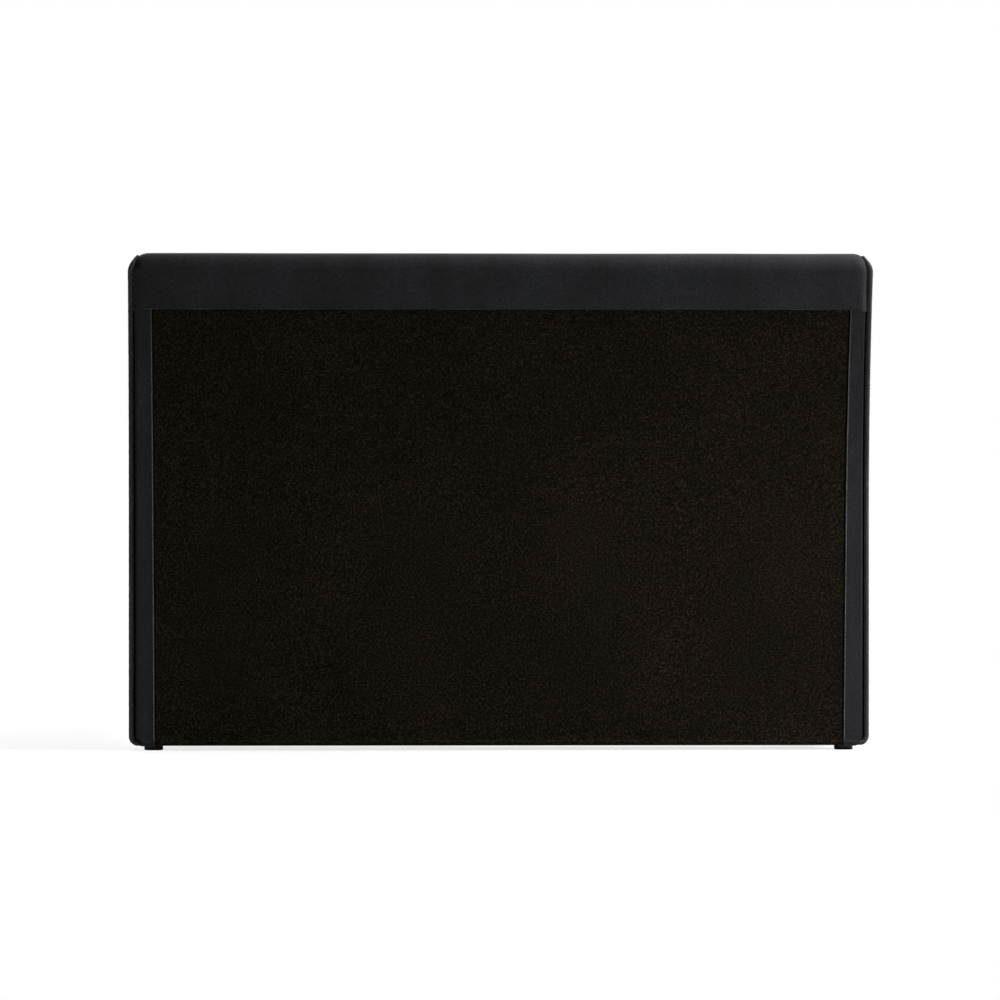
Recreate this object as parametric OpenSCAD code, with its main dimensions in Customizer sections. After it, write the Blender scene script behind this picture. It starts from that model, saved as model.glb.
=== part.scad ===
// Upholstered sleigh bed: padded headboard with a dust-covered back, padded footboard,
// two padded side rails, and a slatted base on a centre beam with three levelling legs.
// X runs across the bed, +Y points to the headboard, Z is up, and the floor is Z = 0.

/* [Bed] */
// Width over the end piping
bed_w = 1650; // [1450:10:1900]
// Clear length between the two padded end faces
inner_l = 2050; // [1950:10:2150]
// Height of the glide feet
foot_h = 12; // [8:1:20]
// Diameter of the glide feet
foot_d = 42; // [36:1:46]

/* [Headboard] */
// Height of the headboard
head_h = 1105; // [950:5:1250]
// Height at which the headboard starts to sweep back
head_bend_z = 520; // [420:10:560]
// Lean of the headboard's top, in degrees
head_lean = 22; // [14:1:26]
// Depth through the headboard's padded top
head_depth = 108; // [106:1:130]
// Height of the velvet band on the back, measured down from the top
band_h = 122; // [110:1:160]
// Width of the velvet strips on the back at their upper ends
strip_top_w = 42; // [34:1:60]
// Width of the velvet strips on the back at their lower ends
strip_low_w = 49; // [34:1:60]

/* [Footboard] */
// Height of the footboard
footboard_h = 600; // [540:5:720]
// Height at which the footboard starts to sweep out
footboard_bend_z = 340; // [300:10:360]
// Lean of the footboard's top, in degrees
footboard_lean = 24; // [18:1:28]
// Depth through the padded footboard
footboard_depth = 120; // [120:1:140]

/* [Side rails and base] */
// Height of a side rail's lower edge above the floor
rail_low = 80; // [60:5:100]
// Height of a side rail's top edge above the floor
rail_high = 360; // [330:5:370]
// Number of slats
slat_count = 15; // [9:1:17]
// Width of a slat
slat_w = 70; // [50:1:80]
// Diameter of the centre legs
leg_d = 50; // [40:1:60]

/* [Hidden] */
$fn = 48;

// How far cutting shapes run past what they cut, and a length past anything in the bed's depth
over = 1;
past_back = 50;
clear_run = 600;

// Thicknesses of the upholstery and of the wooden parts
skin = 2;
foam_t = 30;
end_foam_t = 20;
pipe_w = 8;
panel_t = 6;
board_t = 6;
rib_t = 18;
frame_depth = 64;
top_rail_t = 20;
bottom_rail_t = 18;
back_board_t = 4;
dust_t = 1;
strip_t = 2;

// Roundings of the padded ends: over the top edge, and at the corners seen from behind
near_round = 62;
head_far_round = 30;
footboard_far_round = 50;
top_corner_r = 38;
low_corner_r = 24;
end_drop = 16;
end_far_drop = 10;
end_rise = 7;

// Layers behind a padded face, as depths from that face
board_near = skin + foam_t;
rib_near = board_near + board_t;
rib_far = rib_near + frame_depth;
head_far_in = head_depth - rib_far;
footboard_far_in = footboard_depth - rib_far - back_board_t;

// Places across the bed, as distances from its middle
half_w = bed_w / 2;
seam_x = half_w - pipe_w;
frame_x = seam_x - end_foam_t;
post_x = frame_x - rib_t;
post_w = 70;
rib_pitch = (frame_x - rib_t / 2) / 2;
foot_inset = 54;
foot_x = half_w - foot_inset;

// Side rail section, across and up
rail_inset = 6;
rail_outer_x = half_w - rail_inset;
rail_board_t = 24;
rail_foam_t = 14;
rail_top_foam = 8;
rail_low_foam = 4;
rail_outer_r = 16;
rail_inner_r = 6;
rail_t = 2 * skin + rail_foam_t + rail_board_t;
rail_inner_x = rail_outer_x - rail_t;

// Slat base
ledger_w = 30;
ledger_h = 40;
ledger_low = 212;
ledger_gap = 50;
slat_t = 18;
slat_low = ledger_low + ledger_h;
slat_end_gap = 7;
slat_margin = 59;
slat_run = inner_l - 2 * slat_margin;
beam_w = 40;
beam_h = 80;
beam_low = slat_low - beam_h;
strap_w = 25;
strap_t = 1.5;
strap_x = 350;
beam_gap = 1;

// Fixings
bracket_t = 3;
bracket_leg = 45;
bracket_low = 130;
bracket_high = 262;
bolt_d = 8;
bolt_inset = 25;
bolt_x = rail_inner_x - bolt_inset;
bolt_l = 102;
bolt_levels = [155, 235];
washer_d = 16;
washer_t = 1.6;
bolt_head_t = 5.3;
bolt_head_d = 15;
screw_d = 5;
screw_head_d = 9;
screw_head_t = 3;
screw_room = 2;
hole_gap = 0.3;
bracket_screw_levels = [150, 196, 242];
bracket_screw_inset = 26;
bracket_screw_l = 27;
ledger_screw_count = 8;
ledger_screw_margin = 50;
ledger_screw_l = 44;
ledger_head_t = 4;
hanger_x = 34;
hanger_half_w = 46;
hanger_screw_l = 60;
cheek_drop = 14;
hanger_levels = [180, 244];
hanger_below = 12;
hanger_above = 6;
hanger_low = beam_low - hanger_below;
hanger_high = slat_low + hanger_above;
block_x = 60;
block_t = 30;
block_margin = 8;
foot_chamfer = 2;
sink_t = 1;
foot_screw_d = 4;
foot_screw_l = 28;
tee_nut_d = 11;
tee_nut_l = 12;
tee_flange_d = 22;
tee_flange_t = 2;
tee_gap = 0.2;
pilot_depth = 24;

// Wooden parts inside a padded end
batten_h = 60;
batten_t = 20;
post_top_gap = 10;
head_batten_levels = [330, 740];
footboard_batten_levels = [420];

// Centre legs and levellers
leg_pitch = 650;
leg_low = 28;
leg_bolt_l = 76;
leg_bolt_depth = 38;
socket_d = 14;
socket_l = 30;
socket_flange_d = 22;
socket_flange_t = 1.5;
socket_room = 6;
stud_clearance = 0.05;
pad_d = 45;
pad_h = 10;
pad_floor_t = 4;
pad_chamfer = 1.5;
pad_neck_r = 11;
pad_bore_r = 4.4;
stud_gap = 0.3;
stud_l = 46;
stud_nut_t = 6;

// A padded end is [height, bend height, lean, depth, near rounding, far rounding]
head = [head_h, head_bend_z, head_lean, head_depth, near_round, head_far_round];
footboard = [footboard_h, footboard_bend_z, footboard_lean, footboard_depth,
    near_round, footboard_far_round];
function high(b) = b[0];
function bend_z(b) = b[1];
function lean(b) = b[2];
function depth(b) = b[3];
function near_r(b) = b[4];
function far_r(b) = b[5];

// Radius of the face's sweep, so that the top rounding ends at the board's height
function bend_r(b) = (high(b) - bend_z(b) - near_r(b) * (1 - sin(lean(b)))) / sin(lean(b));

// Points up the swept face at one depth behind the padded face, as [y, z]
bend_steps = 16;
near_steps = 8;
far_steps = 10;
function face(b, d) = [
    for (i = [0 : bend_steps])
        let (a = lean(b) * i / bend_steps)
        [bend_r(b) - (bend_r(b) - d) * cos(a), bend_z(b) + (bend_r(b) - d) * sin(a)]
];
function tip(b, d) = face(b, d)[bend_steps];
function reversed(points) = [for (i = [len(points) - 1 : -1 : 0]) points[i]];
function arc(centre, r, a0, a1, steps, first = 0) = [
    for (i = [first : steps])
        let (a = a0 + (a1 - a0) * i / steps)
        centre + r * [-cos(a), sin(a)]
];

// Centres of the two roundings over the top, for an outline set in from the skin
function near_centre(b, near_in) =
    tip(b, near_in) + (near_r(b) - near_in) * [cos(lean(b)), -sin(lean(b))];
function far_centre(b, near_in, far_in) =
    let (r = far_r(b) - far_in)
    let (p = tip(b, depth(b) - far_in))
    let (rise = (high(b) - near_in - r - p[1] - r * sin(lean(b))) / cos(lean(b)))
    [p[0] - r * cos(lean(b)) + rise * sin(lean(b)), high(b) - near_in - r];

// Side outline of a padded end, set in by near_in at the face and top and by far_in behind
function outline(b, near_in, far_in, low) = concat(
    [[near_in, low]],
    face(b, near_in),
    arc(near_centre(b, near_in), near_r(b) - near_in, lean(b), 90, near_steps, 1),
    arc(far_centre(b, near_in, far_in), far_r(b) - far_in, 90, 180 + lean(b), far_steps),
    reversed(face(b, depth(b) - far_in)),
    [[depth(b) - far_in, low]]
);

// The same board with its top lowered, for the end panel and its piping
function lowered(b) = [high(b) - end_drop, bend_z(b), lean(b), depth(b),
    near_r(b) - end_drop / (1 - sin(lean(b))), far_r(b) - end_far_drop];

// Overall length, and where the two padded faces stand
function reach(b) = far_centre(b, 0, 0)[0] + far_r(b);
total_l = inner_l + reach(head) + reach(footboard);
head_y = total_l / 2 - reach(head);
footboard_y = reach(footboard) - total_l / 2;
mid_y = (head_y + footboard_y) / 2;

module at_head() translate([0, head_y, 0]) children();
module at_footboard() translate([0, footboard_y, 0]) mirror([0, 1, 0]) children();
module at_both_ends() {
    at_head() children();
    at_footboard() children();
}
module at_middle() translate([0, mid_y, 0]) children();
module on_side(side) mirror([side < 0 ? 1 : 0, 0, 0]) children();
module on_both_sides() {
    children();
    mirror([1, 0, 0]) children();
}
// Turns a flat [y, z] shape into a solid between two places across the bed
module across(x0, x1) translate([x0, 0, 0]) rotate([90, 0, 90]) linear_extrude(x1 - x0) children();
// Turns a flat [x, z] shape into a solid between two places along the bed
module along(y0, y1) translate([0, y1, 0]) rotate([90, 0, 0]) linear_extrude(y1 - y0) children();
module block(low, far) translate(low) cube(far - low);

// A curved layer between two depths, cut level at its lower and upper ends
module layer(b, near, far, low, top) {
    run = clear_run / 2 * [sin(lean(b)), cos(lean(b))];
    intersection() {
        polygon(concat([[near, 0]], face(b, near), [tip(b, near) + run],
            [tip(b, far) + run], reversed(face(b, far)), [[far, 0]]));
        translate([-over, low]) square([2 * clear_run, top - low]);
    }
}

// Takes the rounded corners off a padded end, as seen from behind
module rounded_corners(b, inset) {
    top_c = [half_w - top_corner_r, high(b) - top_corner_r];
    low_c = [half_w - low_corner_r, foot_h + low_corner_r];
    clear = 30;
    corner_steps = 8;
    top_arc = [for (i = [0 : corner_steps]) let (a = i * 90 / corner_steps)
        top_c + (top_corner_r - inset) * [sin(a), cos(a)]];
    low_arc = [for (i = [0 : corner_steps]) let (a = i * 90 / corner_steps)
        low_c + (low_corner_r - inset) * [sin(a), -cos(a)]];
    difference() {
        children();
        on_both_sides() along(-over, clear_run) polygon(concat(
            [[top_c[0], high(b) + clear]], top_arc,
            [[half_w + clear, top_c[1]], [half_w + clear, high(b) + clear]]));
        on_both_sides() along(-over, clear_run) polygon(concat(
            [[low_c[0], -clear]], low_arc,
            [[half_w + clear, low_c[1]], [half_w + clear, -clear]]));
    }
}

// Places of the fixings that go into a padded end, pointing away from the mattress
module bolt_spots() {
    for (side = [-1, 1], z = bolt_levels) {
        translate([side * bolt_x, 0, z]) rotate([-90, 0, 0]) children();
    }
}
module hanger_screw_spots() {
    for (x = [-hanger_x, hanger_x], z = hanger_levels) {
        translate([x, 0, z]) rotate([-90, 0, 0]) children();
    }
}
module foot_spots() {
    for (side = [-1, 1]) translate([side * foot_x, rib_near + frame_depth / 2, 0]) children();
}
module front_holes() {
    bolt_spots() translate([0, 0, -over])
        cylinder(d = bolt_d + 2 * hole_gap, h = rib_near + 2 * over);
    hanger_screw_spots() translate([0, 0, -over])
        cylinder(d = screw_d + hole_gap, h = rib_near + 2 * over);
}

// Frame of a padded end
module ribs(b) color("burlywood") {
    for (i = [-1 : 1]) {
        across(i * rib_pitch - rib_t / 2, i * rib_pitch + rib_t / 2)
            layer(b, rib_near, rib_far, foot_h + bottom_rail_t, high(b) - board_near - top_rail_t);
    }
    on_both_sides() across(post_x, frame_x)
        layer(b, rib_near, rib_far, foot_h, high(b) - board_near - top_rail_t);
}
module posts(b) color("tan") difference() {
    on_both_sides() block([post_x - post_w, rib_near, foot_h], [post_x, rib_far, bend_z(b) - post_top_gap]);
    bolt_spots() {
        translate([0, 0, rib_near - over])
            cylinder(d = bolt_d + 2 * hole_gap, h = frame_depth + 2 * over);
        translate([0, 0, rib_far - tee_nut_l]) cylinder(d = tee_nut_d, h = tee_nut_l + over);
        translate([0, 0, rib_far - tee_flange_t]) cylinder(d = tee_flange_d, h = tee_flange_t + over);
    }
    foot_spots() translate([0, 0, foot_h - over])
        cylinder(d = foot_screw_d + hole_gap,
            h = over + sink_t + screw_head_t + foot_screw_l + screw_room);
}
module top_rail(b, far_in) color("burlywood") intersection() {
    across(-frame_x, frame_x) polygon(outline(b, board_near, far_in, foot_h));
    block([-half_w, -over, high(b) - board_near - top_rail_t], [half_w, clear_run, high(b)]);
}
module battens(b, levels) color("wheat") {
    inner_x0 = rib_t / 2;
    inner_x1 = rib_pitch - rib_t / 2;
    outer_x0 = rib_pitch + rib_t / 2;
    on_both_sides() for (z = levels) {
        outer_x1 = z < bend_z(b) - post_top_gap ? post_x - post_w : post_x;
        across(inner_x0, inner_x1) layer(b, rib_near, rib_near + batten_t, z, z + batten_h);
        across(outer_x0, outer_x1) layer(b, rib_near, rib_near + batten_t, z, z + batten_h);
    }
    block([-(post_x - post_w), rib_near, foot_h], [post_x - post_w, rib_far, foot_h + bottom_rail_t]);
    difference() {
        on_both_sides() block([inner_x0, rib_near, hanger_low - block_margin],
            [block_x, rib_near + block_t, hanger_high + block_margin]);
        hanger_screw_spots() translate([0, 0, rib_near - over])
            cylinder(d = screw_d + hole_gap, h = pilot_depth);
    }
}
module front_board(b) color("peru") difference() {
    across(-frame_x, frame_x)
        layer(b, board_near, rib_near, foot_h, high(b) - board_near - top_rail_t);
    front_holes();
}

// Soft layers of a padded end; back_z is where the padding's lower edge lies behind
module padding(b, far_in, back_z) color("lightyellow") difference() {
    rounded_corners(b, skin) across(-frame_x, frame_x) polygon(outline(b, skin, skin, foot_h));
    across(-half_w, half_w) polygon(outline(b, board_near, far_in, -over));
    across(-half_w, half_w)
        layer(b, board_near, depth(b) - far_in, -over, high(b) - board_near - top_rail_t);
    if (back_z > 0) across(-half_w, half_w) layer(b, rib_near, depth(b) + past_back, -over, back_z);
    front_holes();
}
module end_padding(b, back_z) color("lightyellow") on_both_sides() difference() {
    rounded_corners(b, skin) across(frame_x, seam_x) polygon(outline(b, skin, skin, foot_h));
    if (back_z > 0) across(frame_x - over, seam_x + over)
        layer(b, rib_far + dust_t, depth(b) + past_back, -over, back_z);
}
module cover(b, back_z) color("#26272b") difference() {
    rounded_corners(b, 0) across(-seam_x, seam_x) polygon(outline(b, 0, 0, foot_h));
    rounded_corners(b, skin) across(-half_w, half_w) polygon(outline(b, skin, skin, -over));
    if (back_z > 0) across(-half_w, half_w) layer(b, rib_near, depth(b) + past_back, -over, back_z);
    front_holes();
}
module end_panel(b) color("#2c2d31") across(seam_x, seam_x + panel_t)
    polygon(outline(lowered(b), pipe_w, pipe_w, foot_h + end_rise));
module piping(b) color("#3a3b40") difference() {
    across(seam_x, half_w) polygon(outline(lowered(b), 0, 0, foot_h + end_rise));
    across(seam_x - over, half_w + over) polygon(outline(lowered(b), pipe_w, pipe_w, -over));
}
module back_strip() color("#2f3034") intersection() {
    across(frame_x - strip_low_w, seam_x)
        layer(head, rib_far + dust_t, rib_far + dust_t + strip_t, foot_h, head_h - band_h);
    along(-over, clear_run) polygon([
        [seam_x - strip_low_w, 0], [half_w, 0], [half_w, low_corner_r],
        [half_w, head_h], [seam_x - strip_top_w, head_h - band_h]
    ]);
}
module dust_cover() color("#1c1815") across(-frame_x, frame_x)
    layer(head, rib_far, rib_far + dust_t, foot_h + skin, head_h - band_h);
module back_board(b) color("sienna") across(-frame_x, frame_x)
    layer(b, rib_far, rib_far + back_board_t, foot_h, high(b) - board_near - top_rail_t);

// Glide feet under the four posts
module glide_feet() color("#141414") at_both_ends() foot_spots() difference() {
    rotate_extrude() polygon([[0, 0], [foot_d / 2 - foot_chamfer, 0], [foot_d / 2, foot_chamfer],
        [foot_d / 2, foot_h], [0, foot_h]]);
    translate([0, 0, -over]) cylinder(d = foot_screw_d + hole_gap, h = foot_h + 2 * over);
    translate([0, 0, -over]) cylinder(d = screw_head_d + hole_gap, h = sink_t + over + screw_head_t);
}
module foot_screws() color("silver") at_both_ends() foot_spots() {
    translate([0, 0, sink_t]) cylinder(d = screw_head_d, h = screw_head_t);
    translate([0, 0, sink_t + screw_head_t]) cylinder(d = foot_screw_d, h = foot_h + foot_screw_l);
}

// Side rail: an [x, z] section with rounded corners, drawn at the given distance inside the skin
section_steps = 6;
function corner(cx, cz, r, a0) = [
    for (i = [0 : section_steps])
        let (a = a0 + i * 90 / section_steps)
        [cx + r * cos(a), cz + r * sin(a)]
];
module rail_section(inset) {
    x0 = rail_inner_x + inset;
    x1 = rail_outer_x - inset;
    z0 = rail_low + inset;
    z1 = rail_high - inset;
    r_out = rail_outer_r - inset;
    r_in = rail_inner_r - inset;
    polygon(concat(
        corner(x1 - r_out, z0 + r_out, r_out, 270),
        corner(x1 - r_out, z1 - r_out, r_out, 0),
        corner(x0 + r_in, z1 - r_in, r_in, 90),
        corner(x0 + r_in, z0 + r_in, r_in, 180)
    ));
}
module rail_board_section() translate([rail_inner_x + skin, rail_low + skin + rail_low_foam])
    square([rail_board_t, rail_high - rail_low - 2 * skin - rail_low_foam - rail_top_foam]);
module rail_screw_holes() {
    ledger_screw_spots() translate([0, 0, -over])
        cylinder(d = screw_d + hole_gap, h = over + ledger_head_t + ledger_screw_l + screw_room);
    bracket_screw_spots() translate([0, 0, -over])
        cylinder(d = screw_d + hole_gap, h = over + bracket_screw_l + screw_room);
}
module rail_board() color("tan") difference() {
    along(footboard_y, head_y) rail_board_section();
    rail_screw_holes();
}
module rail_foam() color("lightyellow") along(footboard_y, head_y) difference() {
    rail_section(skin);
    rail_board_section();
}
module rail_cover() color("#26272b") difference() {
    along(footboard_y, head_y) difference() {
        rail_section(0);
        rail_section(skin);
    }
    rail_screw_holes();
}
module rail_ledger() color("wheat") difference() {
    block([rail_inner_x - ledger_w, footboard_y + ledger_gap, ledger_low],
        [rail_inner_x, head_y - ledger_gap, slat_low]);
    ledger_screw_spots() {
        translate([0, 0, -over]) cylinder(d = screw_d + hole_gap, h = 2 * ledger_w);
        translate([0, 0, -over]) cylinder(d = screw_head_d + 2 * hole_gap, h = ledger_head_t + over);
    }
}

// Screws through a ledger or a bracket into its rail, pointing outwards on the +X side
module ledger_screw_spots() {
    run = inner_l - 2 * ledger_gap - 2 * ledger_screw_margin;
    for (i = [0 : ledger_screw_count - 1]) {
        translate([rail_inner_x - ledger_w, mid_y - run / 2 + run * i / (ledger_screw_count - 1),
            ledger_low + ledger_h / 2]) rotate([0, 90, 0]) children();
    }
}
module bracket_screw_spots() {
    for (end = [-1, 1], z = bracket_screw_levels) {
        translate([rail_inner_x - bracket_t, mid_y + end * (inner_l / 2 - bracket_screw_inset), z])
            rotate([0, 90, 0]) children();
    }
}
module ledger_screws() color("silver") on_both_sides() ledger_screw_spots() {
    cylinder(d = screw_head_d, h = ledger_head_t);
    translate([0, 0, ledger_head_t]) cylinder(d = screw_d, h = ledger_screw_l);
}
module bracket_screws() color("silver") on_both_sides() bracket_screw_spots() {
    translate([0, 0, -screw_head_t]) cylinder(d = screw_head_d, h = screw_head_t);
    cylinder(d = screw_d, h = bracket_screw_l);
}

// Steel angle that bolts a rail to a padded end
module corner_brackets() color("dimgray") at_both_ends() on_both_sides() difference() {
    union() {
        block([rail_inner_x - bracket_leg, -bracket_t, bracket_low], [rail_inner_x, 0, bracket_high]);
        block([rail_inner_x - bracket_t, -bracket_leg, bracket_low], [rail_inner_x, 0, bracket_high]);
    }
    bolt_spots() translate([0, 0, -bracket_t - over])
        cylinder(d = bolt_d + 2 * hole_gap, h = bracket_t + 2 * over);
    for (z = bracket_screw_levels) {
        translate([rail_inner_x - bracket_t - over, -bracket_screw_inset, z]) rotate([0, 90, 0])
            cylinder(d = screw_d + hole_gap, h = bracket_t + 2 * over);
    }
}
module bracket_washers() color("silver") at_both_ends() bolt_spots()
    translate([0, 0, -bracket_t - washer_t]) difference() {
        cylinder(d = washer_d, h = washer_t);
        translate([0, 0, -over]) cylinder(d = bolt_d + 2 * hole_gap, h = washer_t + 2 * over);
    }
module bracket_bolts() color("gray") at_both_ends() bolt_spots() {
    translate([0, 0, -bracket_t - washer_t - bolt_head_t])
        cylinder(d = bolt_head_d, h = bolt_head_t, $fn = 6);
    translate([0, 0, -bracket_t - washer_t]) cylinder(d = bolt_d, h = bolt_l);
}
module tee_nuts() color("silver") at_both_ends() bolt_spots() difference() {
    union() {
        translate([0, 0, rib_far - tee_nut_l])
            cylinder(d = tee_nut_d - hole_gap, h = tee_nut_l - tee_flange_t / 2);
        translate([0, 0, rib_far - tee_flange_t + tee_gap])
            cylinder(d = tee_flange_d - 2 * tee_gap, h = tee_flange_t - 2 * tee_gap);
    }
    translate([0, 0, rib_far - 2 * tee_nut_l]) cylinder(d = bolt_d + hole_gap, h = 3 * tee_nut_l);
}

// Slats, their webbing, and the beam down the middle
module slats() color("wheat") at_middle() {
    for (i = [0 : slat_count - 1]) {
        y = -slat_run / 2 + slat_run * i / (slat_count - 1);
        block([slat_end_gap - rail_inner_x, y - slat_w / 2, slat_low],
            [rail_inner_x - slat_end_gap, y + slat_w / 2, slat_low + slat_t]);
    }
}
module slat_webbing() color("dimgray") at_middle() on_both_sides()
    block([strap_x - strap_w / 2, -(slat_run + slat_w) / 2, slat_low - strap_t],
        [strap_x + strap_w / 2, (slat_run + slat_w) / 2, slat_low]);
module leg_spots() for (i = [-1 : 1]) translate([0, mid_y + i * leg_pitch, 0]) children();
module centre_beam() color("tan") difference() {
    at_middle() block([-beam_w / 2, -inner_l / 2 + bracket_t + beam_gap, beam_low],
        [beam_w / 2, inner_l / 2 - bracket_t - beam_gap, slat_low]);
    leg_spots() translate([0, 0, beam_low - over])
        cylinder(d = bolt_d + hole_gap, h = leg_bolt_depth + 2 * over);
}
module beam_hangers() color("dimgray") at_both_ends() difference() {
    union() {
        block([-hanger_half_w, -bracket_t, hanger_low], [hanger_half_w, 0, hanger_high]);
        block([-beam_w / 2 - bracket_t, -bracket_leg, beam_low - bracket_t],
            [beam_w / 2 + bracket_t, 0, beam_low]);
        on_both_sides() block([beam_w / 2, -bracket_leg, beam_low - bracket_t],
            [beam_w / 2 + bracket_t, 0, slat_low - cheek_drop]);
    }
    hanger_screw_spots() translate([0, 0, -bracket_t - over])
        cylinder(d = screw_d + hole_gap, h = bracket_t + 2 * over);
}
module hanger_screws() color("silver") at_both_ends() hanger_screw_spots() {
    translate([0, 0, -bracket_t - screw_head_t]) cylinder(d = screw_head_d, h = screw_head_t);
    translate([0, 0, -bracket_t]) cylinder(d = screw_d, h = hanger_screw_l);
}

// Centre legs with a threaded socket, a levelling stud and a floor pad
module centre_legs() color("#2a241f") leg_spots() difference() {
    translate([0, 0, leg_low]) cylinder(d = leg_d, h = beam_low - leg_low);
    translate([0, 0, leg_low - over])
        cylinder(d = socket_d + hole_gap, h = socket_l + socket_room);
    translate([0, 0, beam_low - leg_bolt_depth - over])
        cylinder(d = bolt_d + hole_gap, h = leg_bolt_depth + 2 * over);
}
module leg_bolts() color("silver") leg_spots()
    translate([0, 0, beam_low - leg_bolt_l / 2]) cylinder(d = bolt_d, h = leg_bolt_l);
module leveller_sockets() color("goldenrod") leg_spots() difference() {
    union() {
        translate([0, 0, leg_low]) cylinder(d = socket_d, h = socket_l);
        translate([0, 0, leg_low - socket_flange_t]) cylinder(d = socket_flange_d, h = socket_flange_t);
    }
    translate([0, 0, leg_low - 2 * socket_flange_t])
        cylinder(d = bolt_d + 2 * stud_clearance, h = socket_l + socket_room);
}
module leveller_pad(i) color("#141414") translate([0, mid_y + i * leg_pitch, 0]) rotate_extrude()
    polygon([[0, 0], [pad_d / 2 - pad_chamfer, 0], [pad_d / 2, pad_chamfer],
        [pad_d / 2, pad_floor_t], [pad_neck_r, pad_h], [pad_bore_r, pad_h],
        [pad_bore_r, pad_floor_t], [0, pad_floor_t]]);
module leveller_stud(i) color("silver") translate([0, mid_y + i * leg_pitch, 0]) {
    translate([0, 0, pad_floor_t + stud_gap]) cylinder(d = bolt_d, h = stud_l);
    translate([0, 0, pad_h + stud_gap]) cylinder(d = bolt_head_d, h = stud_nut_t, $fn = 6);
}

at_head() ribs(head);  // headboard_ribs
at_head() posts(head);  // headboard_posts
at_head() top_rail(head, head_far_in);  // headboard_top_rail
at_head() battens(head, head_batten_levels);  // headboard_battens
at_head() front_board(head);  // headboard_front_board
at_head() padding(head, head_far_in, head_h - band_h);  // headboard_foam
at_head() end_padding(head, head_h - band_h);  // headboard_end_foam
at_head() cover(head, head_h - band_h);  // headboard_cover
at_head() on_side(-1) end_panel(head);  // headboard_end_panel_left
at_head() on_side(1) end_panel(head);  // headboard_end_panel_right
at_head() on_side(-1) piping(head);  // headboard_piping_left
at_head() on_side(1) piping(head);  // headboard_piping_right
at_head() on_side(-1) back_strip();  // headboard_back_strip_left
at_head() on_side(1) back_strip();  // headboard_back_strip_right
at_head() dust_cover();  // headboard_dust_cover
at_footboard() ribs(footboard);  // footboard_ribs
at_footboard() posts(footboard);  // footboard_posts
at_footboard() top_rail(footboard, footboard_far_in);  // footboard_top_rail
at_footboard() battens(footboard, footboard_batten_levels);  // footboard_battens
at_footboard() front_board(footboard);  // footboard_front_board
at_footboard() back_board(footboard);  // footboard_back_board
at_footboard() padding(footboard, footboard_far_in, 0);  // footboard_foam
at_footboard() end_padding(footboard, 0);  // footboard_end_foam
at_footboard() cover(footboard, 0);  // footboard_cover
at_footboard() on_side(-1) end_panel(footboard);  // footboard_end_panel_left
at_footboard() on_side(1) end_panel(footboard);  // footboard_end_panel_right
at_footboard() on_side(-1) piping(footboard);  // footboard_piping_left
at_footboard() on_side(1) piping(footboard);  // footboard_piping_right
glide_feet();
foot_screws();
on_side(-1) rail_board();  // rail_left_board
on_side(-1) rail_foam();  // rail_left_foam
on_side(-1) rail_cover();  // rail_left_cover
on_side(-1) rail_ledger();  // rail_left_ledger
on_side(1) rail_board();  // rail_right_board
on_side(1) rail_foam();  // rail_right_foam
on_side(1) rail_cover();  // rail_right_cover
on_side(1) rail_ledger();  // rail_right_ledger
ledger_screws();
corner_brackets();
bracket_bolts();
bracket_washers();
tee_nuts();
bracket_screws();
slats();
slat_webbing();
centre_beam();
beam_hangers();
hanger_screws();
centre_legs();
leg_bolts();
leveller_sockets();
leveller_pad(-1);  // leveller_pad_foot
leveller_pad(0);  // leveller_pad_middle
leveller_pad(1);  // leveller_pad_head
leveller_stud(-1);  // leveller_stud_foot
leveller_stud(0);  // leveller_stud_middle
leveller_stud(1);  // leveller_stud_head
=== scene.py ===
"""Looks of the sleigh bed: velvet upholstery, dust cover, wood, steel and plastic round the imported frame.

Every length is in metres. X runs across the bed, +Y points to the headboard and Z is up.
"""
import math

import bpy
import numpy as np
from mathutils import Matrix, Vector


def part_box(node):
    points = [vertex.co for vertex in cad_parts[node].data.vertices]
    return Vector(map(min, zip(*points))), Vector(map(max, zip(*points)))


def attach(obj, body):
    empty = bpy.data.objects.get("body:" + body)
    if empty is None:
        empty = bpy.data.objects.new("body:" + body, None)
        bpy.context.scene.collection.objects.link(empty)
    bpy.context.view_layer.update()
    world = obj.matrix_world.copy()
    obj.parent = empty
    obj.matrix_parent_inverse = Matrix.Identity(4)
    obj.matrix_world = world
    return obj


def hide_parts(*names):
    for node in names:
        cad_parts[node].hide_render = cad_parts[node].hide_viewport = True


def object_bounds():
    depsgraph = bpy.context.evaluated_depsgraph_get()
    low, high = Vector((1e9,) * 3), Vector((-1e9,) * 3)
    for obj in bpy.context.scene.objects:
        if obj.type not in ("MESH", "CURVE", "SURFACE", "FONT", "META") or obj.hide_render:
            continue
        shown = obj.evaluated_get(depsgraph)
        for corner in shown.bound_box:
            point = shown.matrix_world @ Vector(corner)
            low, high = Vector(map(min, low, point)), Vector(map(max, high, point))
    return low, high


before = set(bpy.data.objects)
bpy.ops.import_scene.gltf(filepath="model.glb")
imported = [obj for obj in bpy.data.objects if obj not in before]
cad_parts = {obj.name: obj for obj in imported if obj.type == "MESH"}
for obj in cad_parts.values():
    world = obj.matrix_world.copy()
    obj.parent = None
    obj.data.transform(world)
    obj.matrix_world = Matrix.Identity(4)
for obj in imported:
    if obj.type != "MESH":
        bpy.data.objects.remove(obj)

CAD_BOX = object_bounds()
MM = 0.001

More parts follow.
